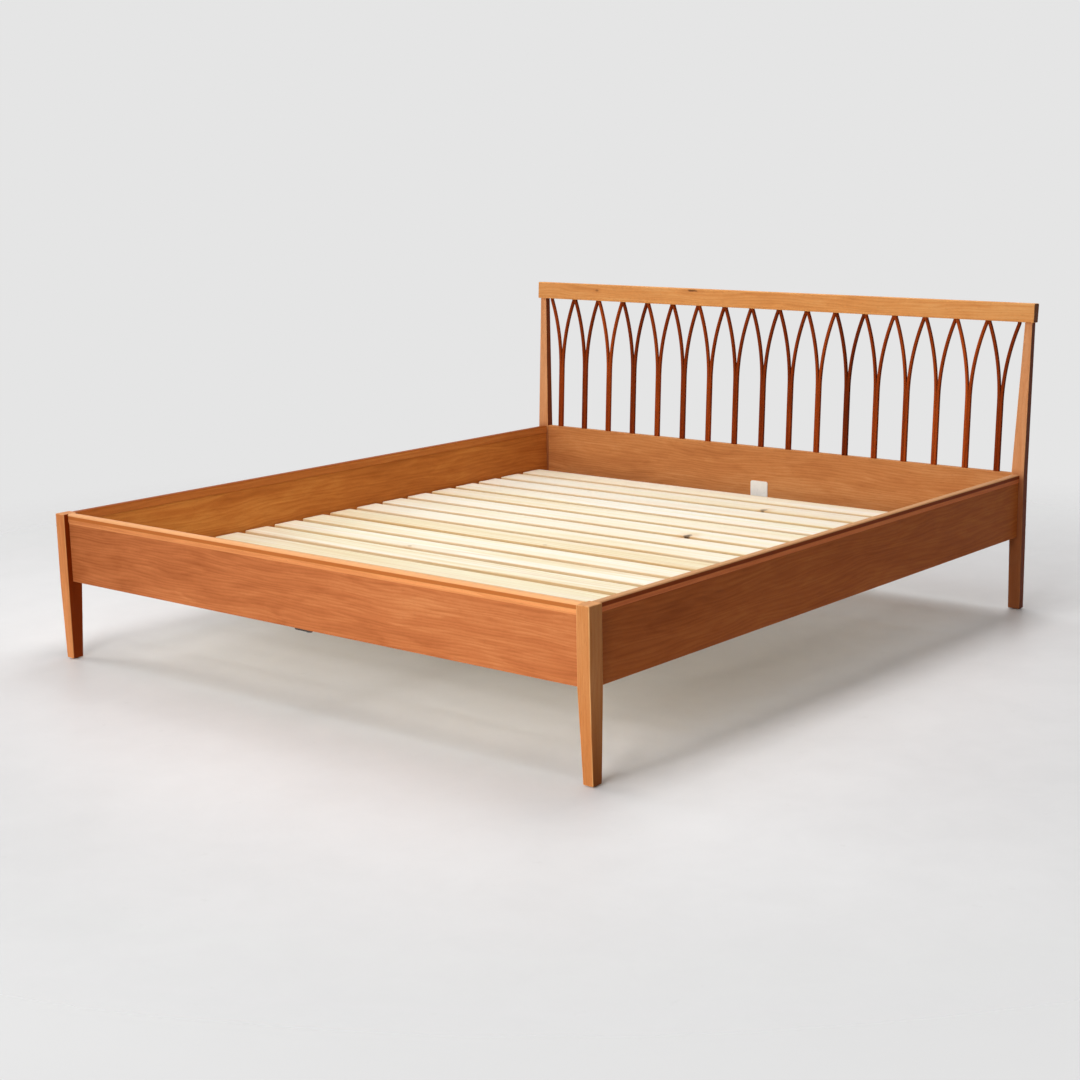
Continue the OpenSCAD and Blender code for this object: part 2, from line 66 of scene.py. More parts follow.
# Posts: the inner face of all four, then the foot posts' depth and the ends of their tapered legs
POST_IN = 0.903
POST_D = 0.047
FOOT_W = 0.029
FOOT_D = 0.033
FOOT_LEAN = 0.006

# Head posts: the outer face, the width at the floor, the depth, then the top, height and slope
HEAD_OUTER = 0.944
HEAD_FOOT_W = 0.038
HEAD_POST_D = 0.027
HEAD_TOP_W = 0.024
HEAD_TOP_D = 0.022
HEAD_H = 0.451
HEAD_RAKE = math.radians(2.9)

# Cap: its height, its back at the bottom and top, its front, and how far it goes past the posts
CAP_H = 0.056
CAP_BACK = 0.022
CAP_TOP_BACK = 0.025
CAP_FRONT = 0.006
CAP_SIDE = 0.007

# Spindles: two strips that run up side by side, part in an arch and end under the cap
SPINDLE_N = 17
SPINDLE_PITCH = 2 * POST_IN / SPINDLE_N
SPINDLE_BACK = 0.010
STRIP_T = 0.009
STRIP_D = 0.011
STEM_START = -0.010
STEM_MIDDLE = 0.1
ARCH_RISE = 0.243
APEX_JOINT = 0.006
STRIP_END = 0.456
STRIP_GRAIN = 0.7

SLAT_N = 17

# Heights between which the edgings and the foot rail take stripes of painted highlight and painted shade
LIP_HIGHLIGHT_LOW = 0.384
LIP_HIGHLIGHT_TOP = BOARD_TOP + 0.002
EDGING_SHADE_LINE = 0.397
FOOT_ROUND = FRAME_TOP - 0.0055
LEFT_ROUND = FRAME_TOP - 0.0035
RIGHT_SHADE_LINE = FRAME_TOP - 0.0125
RIGHT_ROUND = FRAME_TOP - 0.003
PAST_TOP = FRAME_TOP + 0.008

# Radii of the rounded edges and ends, a list of them from the lower corners up
POST_R = 0.0028
POST_END_R = 0.0022
HEAD_POST_R = 0.0022
HEAD_POST_END_R = 0.001
BOARD_R = 0.0012
BOARD_END_R = 0.0006
PANEL_RADII = [0.001, 0.001, 0.002, 0.002]
EDGING_RADII = [0.0008, 0.0008, 0.004, 0.004]
CAP_RADII = [0.002, 0.002, 0.0035, 0.0035]
CAP_END_R = 0.0025
SLAT_CORNER = 0.007
SLAT_R = 0.0028
STRIP_R = 0.0018

# Heights of the rings of points along the posts
LEG_STATIONS = [GLIDE_H, 0.06, 0.12, 0.18, BOARD_BOTTOM, 0.32]
FOOT_STATIONS = LEG_STATIONS + [FRAME_TOP]
HEAD_STATIONS = LEG_STATIONS + [0.395, FRAME_TOP, 0.43, 0.55, 0.7, FRAME_TOP + HEAD_H]

ROUND_STEPS = 5
END_STEPS = 3
ARC_STEPS = 16
GRAIN_SHIFT = 4.0
FACING_POWER = 4
BODY = "root"
LEFT, RIGHT = -1, 1
ACROSS, ALONG = 0, 1
NO_LEAN = (0.0, 0.0)


def lerp(a, b, t):
    return a + (b - a) * t


def part_way(value, start, end):
    """How far a value has come from start to end, kept between 0 and 1."""
    return min(max((value - start) / (end - start), 0.0), 1.0)


def facing(amount):
    """1 where a face looks straight along an axis, falling off over the rounded edges."""
    return max(amount, 0.0) ** FACING_POWER


def raked(x, y, z):
    """A point of the sloping headboard, its Z up the slope from the rail tops."""
    cos, sin = math.cos(HEAD_RAKE), math.sin(HEAD_RAKE)
    return (x, HEAD_Y + y * cos + z * sin, FRAME_TOP + z * cos - y * sin)


def rectangle(u0, v0, u1, v1):
    return [(u0, v0), (u1, v0), (u1, v1), (u0, v1)]


def add_object(name, data):
    made = bpy.data.objects.new(name, data)
    bpy.context.scene.collection.objects.link(made)
    return made


# Mesh building
def rounded_outline(corners, radii):
    """Points, outward normals and edge marks of a convex outline with rounded corners.

    The corners run counter-clockwise, and radii is one radius or a list with one for each corner.
    """
    points, normals, marks = [], [], []
    for i, corner in enumerate(corners):
        p = np.array(corner, float)
        back = np.array(corners[i - 1], float) - p
        ahead = np.array(corners[(i + 1) % len(corners)], float) - p
        back /= np.linalg.norm(back)
        ahead /= np.linalg.norm(ahead)
        half = math.acos(np.clip(np.dot(back, ahead), -1, 1)) / 2
        middle = (back + ahead) / np.linalg.norm(back + ahead)
        radius = radii[i] if hasattr(radii, "__len__") else radii
        centre = p + middle * radius / math.sin(half)
        start = p + back * radius / math.tan(half) - centre
        turn = math.pi - 2 * half
        for k in range(ROUND_STEPS + 1):
            a = turn * k / ROUND_STEPS
            cos, sin = math.cos(a), math.sin(a)
            n = np.array([start[0] * cos - start[1] * sin, start[0] * sin + start[1] * cos])
            n /= np.linalg.norm(n)
            points.append(centre + n * radius)
            normals.append(n)
            marks.append(math.sin(math.pi * k / ROUND_STEPS))
    return np.array(points), np.array(normals), np.array(marks)


def end_rings(radius):
    """For each ring of a rounded end: how far in it lies, how far it draws in, and its edge mark."""
    rings = []
    for k in range(END_STEPS + 1):
        a = math.pi / 2 * k / END_STEPS
        rings.append(
            (radius * (1 - math.sin(a)), radius * (1 - math.cos(a)), math.sin(2 * a))
        )
    return rings


class Piece:
    """Collects rings of points into one mesh, with the place in the wood and the marks of each."""

    def __init__(self, name):
        self.name = name
        self.points, self.grains, self.marks, self.shades, self.faces = [], [], [], [], []

    def loft(
        self, stations, place, corners, radii, end_radius=0.0, grain_start=0.0, shade=None
    ):
        """A bar along its stations: place(s, u, v) gives a point, corners(s) the outline at s.

        shade(normal, end, s) marks the faces that get painted shade, by their normal in the
        outline, with end = 1 on the end faces.
        """
        first, last = stations[0], stations[-1]
        ends = end_rings(end_radius) if end_radius else [(0.0, 0.0, 0.0)]
        low = sorted((first + s, inset, mark) for s, inset, mark in ends)
        high = sorted((last - s, inset, mark) for s, inset, mark in ends)
        middle = [(s, 0.0, 0.0) for s in stations[1:-1]]
        starts = []
        for s, inset, end_mark in low + middle + high:
            outline, normals, marks = rounded_outline(corners(s), radii)
            outline = outline - normals * inset
            end = inset / end_radius if end_radius else float(s in (first, last))
            starts.append(len(self.points))
            self.points += [place(s, u, v) for u, v in outline]
            self.grains += [(grain_start + s, u, v) for u, v in outline]
            self.marks += list(np.maximum(marks, end_mark))
            self.shades += [shade(n, end, s) if shade else 0.0 for n in normals]
        count = len(outline)
        for a, b in zip(starts, starts[1:]):
            for k in range(count):
                m = (k + 1) % count
                self.faces.append((a + k, a + m, b + m, b + k))
        self.faces.append(tuple(starts[0] + k for k in reversed(range(count))))
        self.faces.append(tuple(starts[-1] + k for k in range(count)))
        return self

    def build(self, material, seed, slot, replaced=(), painted_light_lean=NO_LEAN):
        """The mesh object, riding on the frame, its grain shifted and tinted by its own seed.

        The lean adds to the tint at the start and the end of the grain, so that the tone runs
        along it as painted light, lighter towards one end and darker towards the other.
        """
        mesh = bpy.data.meshes.new(self.name)
        mesh.from_pydata([tuple(p) for p in self.points], [], self.faces)
        rng = np.random.default_rng(seed)
        grain = np.array(self.grains) + rng.uniform(-GRAIN_SHIFT, GRAIN_SHIFT, 3)
        along = np.array(self.grains)[:, 0]
        along = (along - along.min()) / np.ptp(along)
        tint = rng.uniform(-1, 1) + lerp(painted_light_lean[0], painted_light_lean[1], along)
        set_attribute(mesh, "grain", "FLOAT_VECTOR", "vector", grain)
        set_attribute(mesh, "edge", "FLOAT", "value", self.marks)
        set_attribute(mesh, "shade", "FLOAT", "value", self.shades)
        set_attribute(mesh, "tint", "FLOAT", "value", tint)
        mesh.validate()
        fix_outside(mesh)
        smooth(mesh)
        piece = add_object(self.name, mesh)
        mesh.materials.append(material)
        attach(piece, BODY)
        if replaced:
            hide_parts(*replaced)
        return piece


def set_attribute(mesh, name, kind, field, values):
    attribute = mesh.attributes.new(name, kind, "POINT")
    attribute.data.foreach_set(field, np.asarray(values, np.float32).ravel())


def fix_outside(mesh):
    """Turns the mesh inside out if its faces look inwards."""
    volume = 0.0
    for polygon in mesh.polygons:
        volume += polygon.area * polygon.normal.dot(polygon.center)
    if volume < 0:
        mesh.flip_normals()


def smooth(mesh):
    """Smooth shading with area-weighted normals, so that flat faces stay flat to their edges."""
    mesh.polygons.foreach_set("use_smooth", [True] * len(mesh.polygons))
    mesh.update()
    normals = np.zeros((len(mesh.vertices), 3))
    for polygon in mesh.polygons:
        weighted = np.array(polygon.normal) * polygon.area
        for v in polygon.vertices:
            normals[v] += weighted
    lengths = np.linalg.norm(normals, axis=1, keepdims=True)
    normals /= np.maximum(lengths, 1e-12)
    mesh.normals_split_custom_set_from_vertices(normals.tolist())


# Shaders
class Shader:
    """The node tree of a material or a world, with short ways to add to it."""

    def __init__(self, owner, output="ShaderNodeOutputMaterial"):
        owner.use_nodes = True
        self.owner = owner
        self.tree = owner.node_tree
        self.tree.nodes.clear()
        self.out = self.node(output)

    def node(self, kind, inputs=None, **settings):
        made = self.tree.nodes.new(kind)
        for key, value in settings.items():
            setattr(made, key, value)
        for key, value in (inputs or {}).items():
            self.feed(made.inputs[key], value)
        return made

    def feed(self, socket, value):
        """Links a socket to another, or sets it to a value or to an opaque colour."""
        if isinstance(value, bpy.types.NodeSocket):
            self.tree.links.new(value, socket)
        elif socket.type == "RGBA":
            socket.default_value = (*value, 1.0)
        else:
            socket.default_value = value

    def place(self):
        """The place in the bed, in metres."""
        return self.node("ShaderNodeTexCoord").outputs["Object"]

    def axes(self, vector):
        return self.node("ShaderNodeSeparateXYZ", {0: vector}).outputs

    def attribute(self, name, output="Fac"):
        return self.node("ShaderNodeAttribute", attribute_name=name).outputs[output]

    def math(self, operation, a, b=0.0, c=0.0):
        made = self.node("ShaderNodeMath", {0: a, 1: b, 2: c}, operation=operation)
        return made.outputs[0]

    def vector(self, operation, a, b=(0.0, 0.0, 0.0)):
        made = self.node("ShaderNodeVectorMath", {0: a, 1: b}, operation=operation)
        return made.outputs["Value" if operation == "LENGTH" else "Vector"]

    def noise(self, vector, scale=1.0, detail=2.0, rough=0.5, twist=0.0, colour=False):
        inputs = {
            "Vector": vector,
            "Scale": scale,
            "Detail": detail,
            "Roughness": rough,
            "Distortion": twist,
        }
        made = self.node("ShaderNodeTexNoise", inputs)
        return made.outputs["Color" if colour else "Fac"]

    def drawn_noise(self, vector, scales, **settings):
        """Noise with a scale of its own for each axis."""
        return self.noise(self.vector("MULTIPLY", vector, scales), **settings)

    def span(self, value, low, high, to_low=0.0, to_high=1.0, kind="LINEAR"):
        inputs = {
            "Value": value,
            "From Min": low,
            "From Max": high,
            "To Min": to_low,
            "To Max": to_high,
        }
        return self.node("ShaderNodeMapRange", inputs, interpolation_type=kind).outputs["Result"]

    def mix(self, factor, a, b, blend="MIX"):
        made = self.node(
            "ShaderNodeMix", {0: factor, 6: a, 7: b}, data_type="RGBA", blend_type=blend
        )
        return made.outputs[2]

    def ramp(self, factor, stops):
        made = self.node("ShaderNodeValToRGB", {"Fac": factor})
        ramp = made.color_ramp
        while len(ramp.elements) < len(stops):
            ramp.elements.new(0.5)
        for element, (stop, colour) in zip(ramp.elements, stops):
            element.position = stop
            element.color = (*colour, 1.0)
        return made.outputs["Color"]

    def clouded(self, factor, colour, dark):
        """A colour that runs darker where the factor is low."""
        return self.ramp(factor, [(0.3, tuple(c * dark for c in colour)), (0.7, colour)])

    def bump(self, height, strength, distance):
        made = self.node(
            "ShaderNodeBump", {"Height": height, "Strength": strength, "Distance": distance}
        )
        return made.outputs["Normal"]

    def principled(self, **inputs):
        names = {
            "colour": "Base Color",
            "metallic": "Metallic",
            "rough": "Roughness",
            "specular": "Specular IOR Level",
            "normal": "Normal",
            "coat": "Coat Weight",
            "coat_rough": "Coat Roughness",
            "sheen": "Sheen Weight",
            "sheen_rough": "Sheen Roughness",
        }
        made = self.node(
            "ShaderNodeBsdfPrincipled", {names[k]: v for k, v in inputs.items()}
        )
        self.feed(self.out.inputs[0], made.outputs[0])
        return made


def srgb(r, g, b):
    """A colour given as 8-bit sRGB, in linear values."""
    return tuple(
        c / 12.92 if c <= 0.04045 else ((c + 0.055) / 1.055) ** 2.4
        for c in (r / 255, g / 255, b / 255)
    )


def tones(stops, *colours):
    """8-bit colours from dark to light, each at its stop in the pattern."""
    return [(stop, srgb(*colour)) for stop, colour in zip(stops, colours)]


# Woods; the scales of their patterns are given along the grain, then twice across it
RING_WOBBLE_SCALE = (0.0, 40.0, 40.0)
RING_WOBBLE = 2.2
EARLY_WOOD_END = 0.72
LATE_WOOD_START = 0.86
FIBRE_SCALE = (22.0, 1300.0, 1300.0)
PORE_SCALE = (55.0, 1900.0, 1900.0)
PORE_SPAN = (0.60, 0.72)
DRIFT_SPAN = (0.40, 0.60)
WEAR_SCALE = (9.0, 60.0, 60.0)
WEAR_SPAN = (0.30, 0.62)
STREAK_ROUGH = 0.12
PORE_ROUGH = 0.15
PORE_HEIGHT = -0.6
FIGURE_HEIGHT = 0.5
WOOD_RELIEF = 0.0004
BAND_BLUR = 0.001
KNOT_SCALE = (60.0, 60.0, 60.0)
KNOT_WOBBLE = 0.8
KNOT_EYE = (0.35, 0.75)
KNOT_HALO = (0.7, 2.2)
HALO_SHARE = 0.45
MIDDLE = (0.5, 0.5, 0.5)


def weighted_sum(shader, parts, start=0.5):
    """start plus each part's value, taken about its middle of 0.5, times its weight."""
    total = start
    for value, weight in parts:
        centred = shader.math("SUBTRACT", value, 0.5)
        total = shader.math("MULTIPLY_ADD", centred, weight, total)
    return total


def grain_place(s, grain_axis):
    """The place in the wood, grain first: stored at each point, or the place in the bed."""
    if grain_axis is None:
        return s.attribute("grain", "Vector")
    parts = s.axes(s.place())
    order = {"X": (0, 1, 2), "Y": (1, 0, 2)}[grain_axis]
    inputs = {k: parts[axis] for k, axis in enumerate(order)}
    return s.node("ShaderNodeCombineXYZ", inputs).outputs[0]


def growth_rings(s, bent, look):
    """Rings around a pith that lies outside the board, each rising slowly to its late wood."""
    across = s.vector("MULTIPLY", bent, (0.0, 1.0, 1.0))
    radius = s.vector("LENGTH", s.vector("SUBTRACT", across, (0.0, *look["pith"])))
    uneven = s.drawn_noise(across, RING_WOBBLE_SCALE, detail=1.0)
    turns = s.math("DIVIDE", radius, look["ring"])
    turns = s.math("FRACT", s.math("MULTIPLY_ADD", uneven, RING_WOBBLE, turns))
    early = s.span(turns, 0.0, EARLY_WOOD_END, kind="SMOOTHERSTEP")
    late = s.span(turns, LATE_WOOD_START, 1.0, kind="SMOOTHSTEP")
    return s.math("SUBTRACT", early, late)


def add_knot(s, colour, at, size, depth, look):
    """A knot at a place of the bed: a dark eye with a soft ring, both uneven in outline."""
    place = s.place()
    wobble = s.drawn_noise(place, KNOT_SCALE, detail=2.0, colour=True)
    wobble = s.vector("SUBTRACT", wobble, MIDDLE)
    wobble = s.vector("MULTIPLY", wobble, tuple(c * KNOT_WOBBLE for c in size))
    offset = s.vector("ADD", s.vector("SUBTRACT", place, at), wobble)
    far = s.vector("LENGTH", s.vector("DIVIDE", offset, size))
    eye = s.span(far, *KNOT_EYE, 1.0, 0.0, "SMOOTHSTEP")
    halo = s.span(far, *KNOT_HALO, 1.0, 0.0, "SMOOTHSTEP")
    colour = s.mix(s.math("MULTIPLY", halo, depth * HALO_SHARE), colour, look["knot_halo"])
    return s.mix(s.math("MULTIPLY", eye, depth), colour, look["knot_eye"])


def add_wear_highlight_and_shade(s, colour, grain, look):
    """Edges worn lighter in patches by handling, partly painted highlight; painted shade on marked
    faces.
    """
    patchy = s.span(s.drawn_noise(grain, WEAR_SCALE, detail=3.0), *WEAR_SPAN)
    worn = s.math("MULTIPLY", s.attribute("edge"), patchy)
    colour = s.mix(s.math("MULTIPLY", worn, look["wear_and_highlight"]), colour, look["wear_and_highlight_colour"])
    # painted shade: the shade tone multiplied over the marked faces
    dark = s.math("MULTIPLY", s.attribute("shade"), look["shade"])
    return s.mix(dark, colour, look["shade_tone"], "MULTIPLY")


def add_painted_light_band(s, colour, low, high, share, tone):
    """A stripe of painted light between two heights, bright as a painted highlight, dark as painted
    shade.
    """
    height = s.axes(s.place())[2]
    above = s.span(height, low - BAND_BLUR, low + BAND_BLUR, 0.0, share, "SMOOTHSTEP")
    below = s.span(height, high - BAND_BLUR, high + BAND_BLUR, 1.0, 0.0, "SMOOTHSTEP")
    return s.mix(s.math("MULTIPLY", above, below), colour, tone)


def wood(name, main_tones, look, knots=(), grain_axis=None, drift=None, bands=()):
    """A varnished or bare wood: its tones run from dark to light, look holds the pattern's values.

    knots have a place, a size and a depth; bands are stripes of painted highlight and painted shade,
    with a lower and an upper height, a share and a colour. grain_axis is given where the mesh stores
    no place in the wood. drift is a second set of tones that the board runs into in places.
    """
    s = Shader(bpy.data.materials.new(name))
    grain = grain_place(s, grain_axis)

    # Slow changes of tone along a board, and the waviness of its rings
    tone = s.drawn_noise(grain, look["tone_scale"], detail=2.0)
    wave = s.drawn_noise(grain, look["wave_scale"], detail=2.0, colour=True)
    wave = s.vector("SUBTRACT", wave, MIDDLE)
    wave = s.vector("MULTIPLY", wave, (0.0, look["wave"], look["wave"]))
    bent = s.vector("ADD", grain, wave)

    # Rings, mottled figure, streaks, fibres and pores
    ring = growth_rings(s, bent, look)
    figure = s.drawn_noise(bent, look["figure_scale"], detail=3.0, twist=look["twist"])
    streak = s.drawn_noise(bent, look["streak_scale"], detail=3.0, rough=0.6)
    fibre = s.drawn_noise(grain, FIBRE_SCALE, detail=2.0, rough=0.6)
    pore = s.span(s.drawn_noise(grain, PORE_SCALE, detail=1.0), *PORE_SPAN, kind="SMOOTHSTEP")
    pattern = [
        (tone, look["tone"]),
        (ring, look["ring_mark"]),
        (figure, look["figure"]),
        (streak, look["streak"]),
        (fibre, look["fibre"]),
    ]
    value = weighted_sum(s, pattern)
    if grain_axis is None:
        value = s.math("MULTIPLY_ADD", s.attribute("tint"), look["tint"], value)

    # The colour, from the pattern to what lies over it
    colour = s.ramp(value, main_tones)
    if drift:
        share = s.drawn_noise(bent, look["drift_scale"], detail=3.0, rough=0.55)
        share = s.math("MULTIPLY_ADD", s.attribute("tint"), look["drift_tint"], share)
        share = s.span(share, *DRIFT_SPAN, kind="SMOOTHSTEP")
        colour = s.mix(share, colour, s.ramp(value, drift))
    colour = s.mix(s.math("MULTIPLY", pore, look["pore"]), colour, look["pore_colour"])
    for at, size, depth in knots:
        colour = add_knot(s, colour, at, size, depth, look)
    # Worn edges lightened, partly as painted highlight, and painted shade on the marked faces
    if grain_axis is None:
        colour = add_wear_highlight_and_shade(s, colour, grain, look)
    # Stripes of painted highlight and painted shade
    for band in bands:
        colour = add_painted_light_band(s, colour, *band)

    rough = s.math("MULTIPLY_ADD", s.math("SUBTRACT", streak, 0.5), STREAK_ROUGH, look["rough"])
    rough = s.math("MULTIPLY_ADD", pore, PORE_ROUGH, rough)
    height = s.math("MULTIPLY_ADD", pore, PORE_HEIGHT, fibre)
    height = s.math("MULTIPLY_ADD", figure, FIGURE_HEIGHT, height)
    s.principled(
        colour=colour,
        rough=rough,
        specular=look["specular"],
        normal=s.bump(height, look["bump"], WOOD_RELIEF),
        coat=look["coat"],
        coat_rough=look["coat_rough"],
    )
    return s.owner


VARNISHED = {
    "tone_scale": (1.5, 8.0, 8.0),
    "wave_scale": (2.2, 9.0, 9.0),
    "wave": 0.050,
    "pith": (0.16, -0.09),
    "ring": 0.0085,
    "figure_scale": (6.5, 42.0, 42.0),
    "twist": 1.1,
    "streak_scale": (3.2, 110.0, 110.0),
    "tone": 0.55,
    "ring_mark": 0.12,
    "figure": 0.62,
    "streak": 0.20,
    "fibre": 0.10,
    "tint": 0.05,
    # painted shade: its share and tone over the faces marked for shade
    "shade": 0.0,
    "shade_tone": srgb(168, 140, 106),
    "pore": 0.30,
    "pore_colour": srgb(104, 50, 24),
    "knot_halo": srgb(176, 104, 52),
    "knot_eye": srgb(88, 52, 30),
    # edges lighter in patches: worn varnish and painted highlight on the rounded arrises
    "wear_and_highlight": 0.35,
    "wear_and_highlight_colour": srgb(226, 160, 98),
    "rough": 0.42,
    "specular": 0.05,
    "bump": 0.35,
    "coat": 0.01,
    "coat_rough": 0.26,
}

BARE = dict(
    VARNISHED,
    tone_scale=(1.2, 9.0, 9.0),
    wave_scale=(0.8, 6.0, 6.0),
    wave=0.03,
    pith=(0.05, -0.07),
    ring=0.0055,
    figure_scale=(1.6, 44.0, 44.0),
    twist=0.2,
    streak_scale=(1.1, 70.0, 70.0),
    tone=0.40,
    ring_mark=0.26,
    figure=0.40,
    streak=0.55,
    tint=0.16,
    drift_scale=(0.9, 24.0, 24.0),
    drift_tint=0.10,
    # painted shade over the faces marked for it, the slats' sides
    shade=1.0,
    shade_tone=srgb(233, 210, 182),
    pore=0.0,
    pore_colour=srgb(214, 170, 116),
    knot_halo=srgb(222, 178, 120),
    knot_eye=srgb(92, 72, 52),
    wear_and_highlight=0.20,
    wear_and_highlight_colour=srgb(255, 240, 214),
    rough=0.58,
    specular=0.20,
    bump=0.30,
    coat=0.0,
    coat_rough=0.3,
)

POST = dict(
    VARNISHED,
    ring_mark=0.07,
    figure=0.35,
    streak=0.16,
    wear_and_highlight=0.5,
    wear_and_highlight_colour=srgb(240, 182, 120),
    shade=1.0,
)
RAIL = dict(VARNISHED, specular=0.03, coat=0.0)
# painted shade over the top faces of the side edgings
EDGING = dict(RAIL, figure=0.30, wear_and_highlight=0.0, shade=1.0, shade_tone=srgb(196, 176, 152))
CAP = dict(
    VARNISHED,
    figure=0.40,
    ring_mark=0.14,
    wear_and_highlight=0.4,
    wear_and_highlight_colour=srgb(240, 184, 122),
    shade=1.0,
    shade_tone=srgb(150, 118, 92),
)
SPINDLE = dict(
    VARNISHED,
    tint=0.20,
    figure=0.30,
    wear_and_highlight=0.3,
    wear_and_highlight_colour=srgb(168, 82, 34),
    specular=0.01,
    coat=0.0,
)

# Where the dark, middle and light tones lie in the pattern
NARROW_STOPS = (0.12, 0.50, 0.88)
WIDE_STOPS = (0.10, 0.50, 0.90)
PALE_STOPS = (0.10, 0.45, 0.80)

# Each knot with its place, size and depth
CAP_KNOTS = [
    ((-0.2814, 1.0225, 0.9117), (0.034, 0.02, 0.0055), 0.80),
    ((-0.6861, 1.0218, 0.8979), (0.012, 0.02, 0.0060), 0.55),
]
SLAT_KNOTS = [
    ((0.2299, 0.2840, 0.262), (0.021, 0.034, 0.02), 1.00),
    ((0.1869, 0.7530, 0.264), (0.018, 0.022, 0.02), 0.80),
    ((-0.3365, -0.2930, 0.264), (0.012, 0.010, 0.02), 0.50),
    ((-0.0257, -0.0577, 0.264), (0.010, 0.009, 0.02), 0.45),
]

# The foot posts' wood in two copies: the left one painted lighter as painted light, each with its own
# painted shade tone, the near one with more painted highlight on its edges
near_post_wood = wood(
    "near_post_wood",
    tones(NARROW_STOPS, (164, 91, 44), (194, 122, 66), (213, 148, 92)),
    dict(POST, wear_and_highlight=0.8, shade_tone=srgb(180, 154, 100)),
)
left_post_wood = wood(
    "left_post_wood",
    tones(NARROW_STOPS, (186, 108, 58), (218, 142, 85), (237, 171, 116)),
    dict(POST, shade_tone=srgb(141, 85, 20)),
)
head_post_wood = wood(
    "head_post_wood",
    tones(NARROW_STOPS, (172, 103, 60), (203, 136, 88), (222, 165, 120)),
    dict(POST, shade_tone=srgb(142, 95, 56)),
)
foot_rail_wood = wood(
    "foot_rail_wood",
    tones(WIDE_STOPS, (156, 84, 42), (191, 112, 65), (215, 142, 88)),
    RAIL,
    # painted highlight: a bright stripe along the top of the board, under the edging
    bands=[(LIP_HIGHLIGHT_LOW, LIP_HIGHLIGHT_TOP, 0.80, srgb(226, 148, 90))],
)
left_rail_wood = wood(
    "left_rail_wood",
    tones(WIDE_STOPS, (154, 82, 32), (188, 111, 49), (212, 140, 68)),
    RAIL,
)
# A darker copy of the rail wood: painted shade on the rail at the shaded side
shaded_right_rail_wood = wood(
    "shaded_right_rail_wood",
    tones(WIDE_STOPS, (143, 68, 25), (175, 93, 41), (197, 117, 57)),
    RAIL,
)
panel_wood = wood(
    "panel_wood",
    tones(WIDE_STOPS, (153, 89, 46), (186, 119, 68), (205, 144, 90)),
    VARNISHED,
)
# A lighter copy of the edging wood as painted highlight, with a painted shade line under the rounded top
# and a pale painted reflection along the top
foot_edging_wood = wood(
    "foot_edging_wood",
    tones(NARROW_STOPS, (200, 122, 70), (230, 152, 92), (242, 178, 116)),
    EDGING,
    bands=[
        (EDGING_SHADE_LINE, FOOT_ROUND, 0.90, srgb(180, 100, 46)),
        (FOOT_ROUND, PAST_TOP, 0.65, srgb(242, 182, 128)),
    ],
)
left_edging_wood = wood(
    "left_edging_wood",
    tones(NARROW_STOPS, (158, 84, 34), (188, 110, 52), (210, 138, 72)),
    EDGING,
    # painted shade: a dark stripe along the top
    bands=[(LEFT_ROUND, PAST_TOP, 0.80, srgb(150, 74, 20))],
)
right_edging_wood = wood(
    "right_edging_wood",
    tones(NARROW_STOPS, (184, 94, 52), (218, 120, 68), (236, 148, 88)),
    EDGING,
    # painted shade in a dark line under the rounded top, and a painted highlight along the top
    bands=[
        (RIGHT_SHADE_LINE, RIGHT_ROUND, 0.95, srgb(128, 52, 8)),
        (RIGHT_ROUND, PAST_TOP, 0.75, srgb(212, 162, 112)),
    ],
)
cap_wood = wood(
    "cap_wood",
    tones(NARROW_STOPS, (179, 109, 53), (211, 142, 80), (226, 170, 107)),
    CAP,
    knots=CAP_KNOTS,
)
spindle_wood = wood(
    "spindle_wood",
    tones(NARROW_STOPS, (86, 28, 8), (128, 48, 14), (172, 75, 26)),
    SPINDLE,
)
slat_wood = wood(
    "slat_wood",
    tones(PALE_STOPS, (225, 199, 152), (239, 226, 191), (245, 244, 223)),
    BARE,
    knots=SLAT_KNOTS,
    drift=tones(PALE_STOPS, (229, 207, 173), (243, 231, 207), (247, 245, 234)),
)
ledge_wood = wood(
    "ledge_wood",
    tones(PALE_STOPS, (226, 188, 138), (240, 212, 168), (250, 232, 198)),
    BARE,
    grain_axis="Y",
)
dowel_wood = wood(
    "dowel_wood",
    tones(PALE_STOPS, (206, 164, 112), (226, 190, 140), (240, 212, 168)),
    dict(BARE, ring=0.002),
    grain_axis="X",
)


# Metals, webbing and plastic
ZINC = [(0.3, srgb(150, 152, 156)), (0.7, srgb(196, 198, 202))]
THREADS = [(0.0, srgb(176, 170, 156)), (0.7, srgb(222, 217, 204))]
SOIL = srgb(196, 184, 160)
WARP_SCALE = 260.0
WEFT_SCALE = 200.0
SOIL_SHARE = 0.3
RUB_SPAN = (0.60, 0.74)
RUB_SHARE = 0.35
DRAWN_LINES = (900.0, 900.0, 40.0)


def painted_metal(name, colour, worn):
    """Powder-coated sheet with its fine pebbled skin and rubbed places."""
    s = Shader(bpy.data.materials.new(name))
    place = s.place()
    pebble = s.noise(place, scale=900.0)
    rub = s.span(s.noise(place, scale=70.0, detail=4.0, rough=0.7), *RUB_SPAN)
    shade = s.clouded(s.noise(place, scale=26.0, detail=3.0), colour, dark=0.93)
    s.principled(
        colour=s.mix(s.math("MULTIPLY", rub, RUB_SHARE), shade, worn),
        rough=s.math("MULTIPLY_ADD", rub, 0.15, 0.42),
        specular=0.5,
        normal=s.bump(pebble, strength=0.35, distance=0.0003),
    )
    return s.owner


